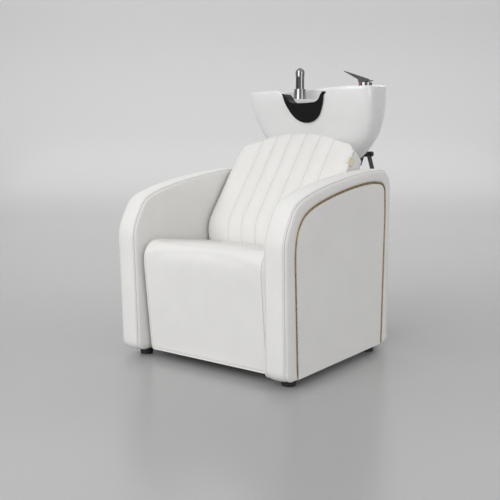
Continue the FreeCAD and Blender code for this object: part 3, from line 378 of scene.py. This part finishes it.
foot_ease, least_soft = 0.045, 0.1
rise = np.clip((arm_ring[:, 1] - arm_foot) / foot_ease, 0, 1)
soft = least_soft + (1 - least_soft) * rise * rise * (3 - 2 * rise)
seam_turn, piping_sink, piping_foot = 64, 0.0012, 0.034
rounding = [(0, 0), (16, 0), (32, 0), (43, 0), (49, 0.0002), (53, crease), (seam_turn, crease), (75, crease),
            (79, 0.0002), (85, 0), (90, 0)]


def corner_ring(turn, sink):
    """The arm's outline part-way round an edge, sunk by a seam, and how far it stands in from the side."""
    turn = math.radians(turn)
    ring = drawn_in(arm_ring, edge * (1 - math.sin(turn)) * soft + sink * math.sin(turn))
    return ring, edge * (1 - math.cos(turn)) + sink * math.cos(turn)


for side, name in ((1, "left"), (-1, "right")):
    rings = []
    brim = drawn_in(arm_ring, edge * soft)
    for share in (0.02, 0.2, 0.45, 0.7, 0.86, 0.95):
        swell = inner_swell * (1 - share**2)
        rings.append(lift(arm_middle + (brim - arm_middle) * share, inner_x - swell, side))
    for turn, sink in rounding:
        ring, stands_in = corner_ring(turn, sink)
        rings.append(lift(ring, inner_x + stands_in, side))
    for share in (0.2, 0.4, 0.6, 0.8):
        swell = band_swell * (1 - (2 * share - 1) ** 2)
        x = inner_x + edge + (outer_x - inner_x - 2 * edge) * share
        rings.append(lift(drawn_in(arm_ring, -swell), x, side))
    for turn, sink in reversed(rounding):
        ring, stands_in = corner_ring(turn, sink)
        rings.append(lift(ring, outer_x - stands_in, side))
    for share in (0.3, 0.6, 0.85):
        swell = border_swell * math.sin(math.pi * share)
        rings.append(lift(brim + (trim_ring - brim) * share, outer_x + swell, side))
    rings.append(lift(trim_ring, outer_x - border_swell, side))
    rings.append(lift(drawn_in(trim_ring, recess_draft), outer_x - recess, side))
    rings.append(lift(drawn_in(trim_ring, recess_lap), outer_x - recess, side))
    cover = add_mesh(name + "_arm_padding", rings, True, leather, "chair", flip=(side > 0))
    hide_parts(name + "_arm_cover")
    ring, stands_in = corner_ring(seam_turn, piping_sink)
    path = over_the_top([point for point in ring if point[1] > piping_foot], piping_foot)
    for tag, x in (("inner", inner_x + stands_in), ("outer", outer_x - stands_in)):
        add_piping("%s_arm_piping_%s" % (name, tag), lift(path, x, side), radius=0.0026, body="chair")

# Side panels: a thin board with foam and cover, flat, with a soft edge all round, pressed into the
# recess of each arm and standing level with the border of the cover.
groove_wide, trim_foot, panel_foot, foot_slope = 0.0075, 0.030, 0.0265, 0.15
panel_edge = [(groove_wide, 0.0), (groove_wide, 0.0040), (0.0079, 0.0052), (0.0090, 0.0061), (0.0110, 0.0066),
              (0.016, 0.0069), (0.024, 0.0070)]
for side, name in ((1, "left"), (-1, "right")):
    rings = []
    for inset, rise in panel_edge:
        ring = drawn_in(trim_ring, inset)
        low = panel_foot + (inset - groove_wide) * foot_slope
        ring[:, 1] = np.where(trim_ring[:, 1] < trim_foot, low, ring[:, 1])
        rings.append(lift(ring, outer_x - recess + rise, side))
    panel = add_mesh(name + "_side_padding", rings, True, leather, "chair", flip=(side > 0))
    count = len(trim_ring)
    last = len(rings) - 1
    bm = bmesh.new()
    bm.from_mesh(panel.data)
    bm.verts.ensure_lookup_table()
    flat = bm.faces.new([bm.verts[last * count + k] for k in range(count)])
    flat.smooth = True
    bmesh.ops.recalc_face_normals(bm, faces=bm.faces)
    if flat.normal.x * side < 0:
        bmesh.ops.reverse_faces(bm, faces=bm.faces)
    bm.to_mesh(panel.data)
    bm.free()
    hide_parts(name + "_side_panel")

# Brass strips: round-faced extruded brass, satin with faint drawing lines, pressed into the groove that
# is left between each side panel and the border of its arm; the taps' back nuts are turned from like brass.
brass, place = start_material("satin_brass", metal=1)
drawing = speckle(brass, place, 90, 5, (6, 1, 1))
tinted(brass, drawing, (0.30, 0.20, 0.075), (0.46, 0.32, 0.13))
sheened(brass, drawing, 0.22, 0.34)
coat(brass, "tap_back_nuts")
strip_radius, strip_inset, strip_sunk = 0.0033, 0.0037, 0.0022
for side, name in ((1, "left"), (-1, "right")):
    groove = drawn_in(trim_ring, strip_inset)
    path = over_the_top([point for point, rim in zip(groove, trim_ring) if rim[1] > trim_foot], trim_foot)
    path = [(path[0][0], trim_low)] + path + [(path[-1][0], trim_low)]
    line = lift(path, outer_x - strip_sunk, side)
    strip = add_piping(name + "_brass_strip", line, strip_radius, "chair", brass)
    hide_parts(name + "_trim_strip")

# Seat: one block of foam on the deck under a cover whose band runs over the top and down the front
# as an apron, sewn with piping to rounded, drawn-in sides and hemmed along the foot.
seat_high, seat_points = 0.413, 84


def seat_line(grow, crown):
    """Side outline of the seat from the apron's foot to the rear, y from the arm fronts."""
    top = seat_high + crown + grow
    brow = (0.024 - grow - crown * 0.5, top - 0.058)
    line = [(0.064, 0.030), (0.056 - grow, 0.033), brow]
    line += eased([brow, (0.036 - grow, top - 0.018), (0.080, top)], (-0.004, 0.05), (0.06, -0.005), 10)
    line.append((0.478, top - 0.043))
    line = spread_out(line, 0.009)
    keep = np.linspace(0, len(line) - 1, seat_points)
    line = np.stack([np.interp(keep, range(len(line)), line[:, k]) for k in (0, 1)], axis=1)
    for rub in range(10):
        line[4:-1] = (line[3:-2] + 2 * line[4:-1] + line[5:]) / 4
    return line


def stuffed(obj, held, cap):
    """Lets a sewn cover swell as cloth under pressure, held along its seams, by cap at most."""
    group = obj.vertex_groups.new(name="held")
    group.add(held, 1.0, "REPLACE")
    before = np.array([corner.co[:] for corner in obj.data.vertices])
    cloth = obj.modifiers.new("stuffing", "CLOTH")
    cloth.settings.quality = 4
    cloth.settings.tension_stiffness = 20
    cloth.settings.compression_stiffness = 20
    cloth.settings.shear_stiffness = 8
    cloth.settings.bending_stiffness = 1.5
    cloth.settings.use_pressure = True
    cloth.settings.uniform_pressure_force = 4
    cloth.settings.effector_weights.gravity = 0
    cloth.settings.vertex_group_mass = "held"
    ticks = 20
    cloth.point_cache.frame_end = ticks
    for tick in range(1, ticks + 1):
        scene.frame_set(tick)
    swollen = obj.evaluated_get(bpy.context.evaluated_depsgraph_get()).data
    after = np.array([corner.co[:] for corner in swollen.vertices])
    obj.modifiers.remove(cloth)
    scene.frame_set(1)
    move = after - before
    far = np.linalg.norm(move, axis=1)
    move *= (cap * np.tanh(far / cap) / np.maximum(far, 1e-9))[:, None]
    obj.data.vertices.foreach_set("co", (before + move).ravel())
    obj.data.update()
    obj.vertex_groups.remove(group)


seat_half, seam_mark, seat_round, seat_crown, side_tuck = 0.258, 0.945, 0.015, 0.007, 0.05
edge_steps, side_grow = 9, (-0.022, -0.040, -0.070)
rings = []
turns = np.cos(np.linspace(0, math.pi / 2, edge_steps))
marks = np.concatenate([-seam_mark - (1 - seam_mark) * turns, np.linspace(-0.92, 0.92, 43),
                        seam_mark + (1 - seam_mark) * turns[::-1]])
for mark in marks:
    rim = max(0.0, (abs(mark) - seam_mark) / (1 - seam_mark))
    grow = -seat_round * (1 - math.sqrt(max(0, 1 - rim**2)))
    line = seat_line(grow, seat_crown * (1 - mark**2))
    rings.append([(seat_half * mark, front + y, z) for y, z in line])
for grow in side_grow:
    line = seat_line(grow, 0.0)
    x = seat_half + (grow + seat_round) * side_tuck
    rings.insert(0, [(-x, front + y, z) for y, z in line])
    rings.append([(x, front + y, z) for y, z in line])
seat = add_mesh("seat_padding", rings, False, leather, None)
across = len(rings[0])
last_row = len(rings) - 1
first_seam = len(side_grow) + edge_steps - 1
last_seam = last_row - first_seam
held_rows = (0, 1, 2, first_seam, last_seam, last_row - 2, last_row - 1, last_row)
held = [row * across + k for row in held_rows for k in range(across)]
held += [row * across + k for row in range(len(rings)) for k in (0, 1, across - 1)]
stuffed(seat, held, cap=0.004)
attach(seat, "chair")
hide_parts("seat_cushion")
for row, tag in ((first_seam, "right"), (last_seam, "left")):
    add_piping("seat_piping_" + tag, rings[row], radius=0.0022, body="chair")
hem_share, hem_in, hem_high = 0.93, 0.0555, 0.0325
hem = [(seat_half * x, front + hem_in, hem_high) for x in np.linspace(-hem_share, hem_share, 20)]
add_piping("seat_hem", hem, radius=0.0026, body="chair")

# Back: a wedge of foam leaning on the back board, its cover sewn into seven upright channels that
# roll under at the seat, the top arched with rounded corners, boxed sides and a piped front edge.
lean = math.radians(36.5)
up = np.array((0, math.sin(lean), math.cos(lean)))
out = np.array((0, -math.cos(lean), math.sin(lean)))
foot_in, foot_z = 0.322, 0.402
foot = np.array((0, front + foot_in, foot_z))
back_half, back_top, arch_drop, corner = 0.252, 0.470, 0.044, 0.052
roll, roll_start, steps, straight = 0.110, 0.107, 12, 0.40
scallop_high, puff_high, puff_fade, side_fall, edge_fall, edge_wide = 0.002, 0.0085, 0.05, 0.006, 0.003, 0.012
seams = [back_half * share for share in (-0.625, -0.375, -0.125, 0.125, 0.375, 0.625)]
edges = [-back_half] + seams + [back_half]


def bulge(x):
    """0 on a channel's seams and 1 on its crest, at x across."""
    for a, b in zip(edges, edges[1:]):
        if a <= x <= b:
            return 1 - abs(2 * (x - a) / (b - a) - 1) ** 3
    return 0.0


def arch(x):
    """How far up the slope the cushion reaches at x across, scalloped by its channels."""
    x = max(-back_half, min(back_half, x))
    scallop = scallop_high * bulge(x)
    x = abs(x)
    if x < back_half - corner:
        return back_top - arch_drop * (x / (back_half - corner)) ** 2 + scallop
    t = (x - back_half + corner) / corner
    return back_top - arch_drop - corner * (1 - math.sqrt(max(0.0, 1 - t**2))) + scallop


def rolled(v):
    """How far the face has turned back under itself at v up the slope."""
    under = min(roll * 0.98, max(0.0, roll_start - v))
    return roll - math.sqrt(roll**2 - under**2)


columns = []
for a, b in zip(edges, edges[1:]):
    columns += [(a + b) / 2 - (b - a) / 2 * math.cos(math.pi * k / steps) for k in range(steps)]
columns.append(back_half)
rings = []
for v in np.concatenate([np.linspace(-0.004, straight, 44), np.linspace(straight + 0.01, 1.0, 26)]):
    ring = []
    for x in columns:
        top = arch(x)
        high = v
        if v > straight + 0.005:
            high = straight + (top - straight) * (v - straight) / (1 - straight)
        below_top = max(0.0, top - high)
        near = min(back_half - abs(x), below_top)
        fall = edge_fall * max(0.0, 1 - near / edge_wide) ** 2
        crown = -side_fall * (x / back_half) ** 2
        puff = puff_high * bulge(x) * (0.3 + 0.7 * min(1.0, below_top / puff_fade))
        ring.append(foot + np.array((x, 0, 0)) + up * high + out * (puff + crown - fall - rolled(high)))
    rings.append(ring)
face = add_mesh("back_padding", rings, False, leather, None)
wide = len(columns)
held = [row * wide + k for row in range(len(rings)) for k in range(0, wide, steps)]
held += [row * wide + k for row in (0, 1, len(rings) - 1) for k in range(wide)]
stuffed(face, held, cap=0.003)
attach(face, "chair")
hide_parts("back_cushion")
rim_line = [ring[0] for ring in rings] + rings[-1][1:-1] + [ring[-1] for ring in reversed(rings)]


def depth(v):
    """Thickness of the cushion down to the back board at v up the slope."""
    y, z = foot_in + v * math.sin(lean), foot_z + v * math.cos(lean)
    board_y, board_z, slope = 0.640, 0.700, 0.4
    return (board_y + slope * (z - board_z) - y) / (math.cos(lean) + slope * math.sin(lean))


box_swell, board_lap = 0.003, 0.010
boxing = []
for share in np.linspace(0, 1, 9):
    ring = []
    for point in rim_line:
        v = float(np.dot(point - foot, up))
        at_board = foot + np.array((point[0], 0, 0)) + up * v - out * (depth(v) - board_lap)
        swell = box_swell * math.sin(math.pi * share)
        ring.append(point + (at_board - point) * share + np.array((swell * np.sign(point[0]), 0, 0)))
    boxing.append(ring)
for inset, rise in ((0.004, 0.006), (0.012, 0.002), (0.034, 0.0008)):
    ring = []
    for point in rim_line:
        v = float(np.dot(point - foot, up))
        lower = v - inset * min(1.0, max(0.0, (v - 0.05) / 0.35))
        ring.append(foot + np.array((point[0] * (1 - inset / back_half), 0, 0)) + up * lower
                    - out * (depth(lower) - rise))
    boxing.append(ring)
box_side = add_mesh("back_boxing", boxing, False, leather, "chair", flip=True)
add_piping("back_piping", rim_line, radius=0.0021, body="chair")
# Stitches down the channel seams: real thread, its grey partly painted shade in the seam grooves.
stitch_proud = 0.0003
for k in range(1, len(seams) + 1):
    line = [ring[steps * k] + out * stitch_proud for ring in rings]
    add_piping("back_stitch_%d" % k, line, radius=0.0007, body="chair", material=seam_shade_thread)

# Rear panel, back board and label: boards covered behind in the same leather, one closing the chair
# behind the seat, and a plain folded ribbon loop caught in the side seam of the back.
coat(leather, "rear_panel", "back_board")
ribbon, place = start_material("cream_ribbon")
ribs = ribbon.node_tree.nodes.new("ShaderNodeTexWave")
ribs.bands_direction = "Z"
ribs.inputs["Scale"].default_value = 260
ribbon.node_tree.links.new(place, ribs.inputs["Vector"])
tinted(ribbon, speckle(ribbon, place, 400), (0.70, 0.63, 0.44), (0.80, 0.74, 0.57))
sheened(ribbon, ribs.outputs["Fac"], 0.65, 0.85)
raised(ribbon, ribs.outputs["Fac"], 0.4, 0.0003)
label_low, label_high, label_long, label_curl, label_clear = 0.336, 0.366, 0.025, 0.0025, 0.0012
caught, label_seat = 0.001, 0.333
rings = []
for a in np.linspace(0, 1, 9):
    share = (label_long - caught) * a / depth(label_seat)
    x = back_half + box_swell * math.sin(math.pi * share) + label_clear + label_curl * a**3
    rings.append([foot + np.array((x, 0, 0)) + up * v + out * (caught - label_long * a)
                  for v in np.linspace(label_low, label_high, 10)])
label = add_mesh("label_loop", rings, False, ribbon, None)
fold = label.modifiers.new("two_layers", "SOLIDIFY")
fold.thickness = 0.0011
fold.offset = 0
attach(label, "chair")
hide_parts("side_label")

# Stand: square steel tube bolted to the chair and welded to a cross tube, powder coated black with
# a light orange-peel, and two round posts in dark chrome that carry the bowl's black tilt pins.
powder, place = start_material("powder_coat")
peel = speckle(powder, place, 900, 2)
tinted(powder, speckle(powder, place, 30), (0.016, 0.016, 0.017), (0.026, 0.026, 0.028))
sheened(powder, peel, 0.42, 0.58)
raised(powder, peel, 0.3, 0.0004)
coat(powder, "left_chassis_rail", "right_chassis_rail", "stand_cross_tube", "bowl_cradle", "tilt_pins",
     "tilt_nuts")
dark_chrome, place = start_material("dark_chrome", metal=1)
wipe = speckle(dark_chrome, place, 25, 4)
tinted(dark_chrome, wipe, (0.10, 0.105, 0.108), (0.15, 0.155, 0.16))
sheened(dark_chrome, wipe, 0.12, 0.22)
coat(dark_chrome, "left_post", "right_post")

# Bowl: slip-cast vitreous china under a thick clear glaze, every edge rounded by the casting,
# set on rubber pads in its cradle.
glaze, place = start_material("white_glaze")
pooling = speckle(glaze, place, 14, 2)
tinted(glaze, pooling, (0.83, 0.83, 0.83), (0.86, 0.86, 0.86))
sheened(glaze, pooling, 0.10, 0.16)
raised(glaze, pooling, 0.05, 0.0008)
even(glaze, "Coat Weight", 0.4)
even(glaze, "Coat Roughness", 0.04)


def softened(name, node, pitch, rounds, material, body):
    """A copy of a CAD piece with its edges eased, as moulding and glazing leave them."""
    obj = nodes[node].copy()
    obj.data = nodes[node].data.copy()
    obj.name = name
    obj.parent = None
    scene.collection.objects.link(obj)
    remesh = obj.modifiers.new("even", "REMESH")
    remesh.mode = "VOXEL"
    remesh.voxel_size = pitch
    smooth = obj.modifiers.new("eased", "SMOOTH")
    smooth.factor = 0.5
    smooth.iterations = rounds
    bpy.context.view_layer.update()
    eased_mesh = bpy.data.meshes.new_from_object(obj.evaluated_get(bpy.context.evaluated_depsgraph_get()))
    obj.modifiers.clear()
    obj.data = eased_mesh
    eased_mesh.polygons.foreach_set("use_smooth", [True] * len(eased_mesh.polygons))
    eased_mesh.materials.clear()
    eased_mesh.materials.append(material)
    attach(obj, body)
    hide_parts(node)
    return obj


china = softened("bowl_china", "bowl", pitch=0.0035, rounds=12, material=glaze, body="bowl_unit")

# Neck rest: a moulded black rubber saddle pushed over the notch, its bib hanging down in front;
# the pads, seals and tap base rings are cut from the same matt rubber.
rubber, place = start_material("black_rubber")
even(rubber, "Specular IOR Level", 0.16)
bloom = speckle(rubber, place, 60, 4)
tinted(rubber, bloom, (0.005, 0.005, 0.0053), (0.009, 0.009, 0.0093))
sheened(rubber, bloom, 0.42, 0.60)
raised(rubber, speckle(rubber, place, 1100, 2), 0.2, 0.0003)
saddle = softened("neck_saddle", "neck_rest", pitch=0.002, rounds=5, material=rubber, body="bowl_unit")
coat(rubber, "waste_seal", "bowl_pads", "tap_base_seals")

# Waste: a chromed flange and lift-out hair catcher in the drain, with a white plastic nut and tail
# below; the tilt bushes and the mixer's cartridge are moulded from like plastic.
white_plastic, place = start_material("white_plastic")
flow = speckle(white_plastic, place, 50)
tinted(white_plastic, flow, (0.72, 0.72, 0.71), (0.80, 0.80, 0.79))
sheened(white_plastic, flow, 0.28, 0.42)
raised(white_plastic, speckle(white_plastic, place, 900, 2), 0.15, 0.0003)
coat(white_plastic, "waste_nut", "waste_tail", "tilt_bushes", "mixer_cartridge")
chrome, place = start_material("bright_chrome", metal=1)
film = speckle(chrome, place, 35, 4)
tinted(chrome, film, (0.42, 0.425, 0.435), (0.52, 0.525, 0.535))
sheened(chrome, film, 0.05, 0.13)
coat(chrome, "waste_flange", "hair_catcher")

# Mixer: a chromed brass drum on the bowl's deck with a turning cap and a wedge lever on a pin,
# a red hot mark let into the cap, and soft copper tails below the deck.
# Painted shade: the taps' chrome is a darker copy of the bright chrome, its colour dimmed to stand in for the
# dark room it reflects.
tap_chrome_painted_dark, place = start_material("tap_chrome_painted_dark", metal=1)
film = speckle(tap_chrome_painted_dark, place, 35, 4)
tinted(tap_chrome_painted_dark, film, (0.25, 0.253, 0.26), (0.32, 0.323, 0.33))
sheened(tap_chrome_painted_dark, film, 0.05, 0.12)
coat(tap_chrome_painted_dark, "mixer_body", "mixer_cap", "mixer_lever", "lever_pin")
enamel, place = start_material("red_mark")
fleck = speckle(enamel, place, 500)
tinted(enamel, fleck, (0.55, 0.015, 0.015), (0.66, 0.03, 0.025))
sheened(enamel, fleck, 0.2, 0.32)
coat(enamel, "mixer_hot_mark")
copper, place = start_material("soft_copper", metal=1)
tarnish = speckle(copper, place, 70, 5)
tinted(copper, tarnish, (0.46, 0.22, 0.12), (0.68, 0.38, 0.24))
sheened(copper, tarnish, 0.22, 0.42)
coat(copper, "mixer_inlet_tails")

# Hand shower: a chromed handset standing in its flared holder on the deck, with a dark moulded
# insert down its front.
# The handset and holder share the same darkened chrome, painted shade in place of dark reflections.
coat(tap_chrome_painted_dark, "shower_holder", "shower_handle")
insert, place = start_material("dark_insert")
spark = speckle(insert, place, 900, 2)
tinted(insert, speckle(insert, place, 60), (0.012, 0.012, 0.013), (0.022, 0.022, 0.024))
sheened(insert, spark, 0.32, 0.46)
raised(insert, spark, 0.2, 0.0003)
coat(insert, "shower_face")
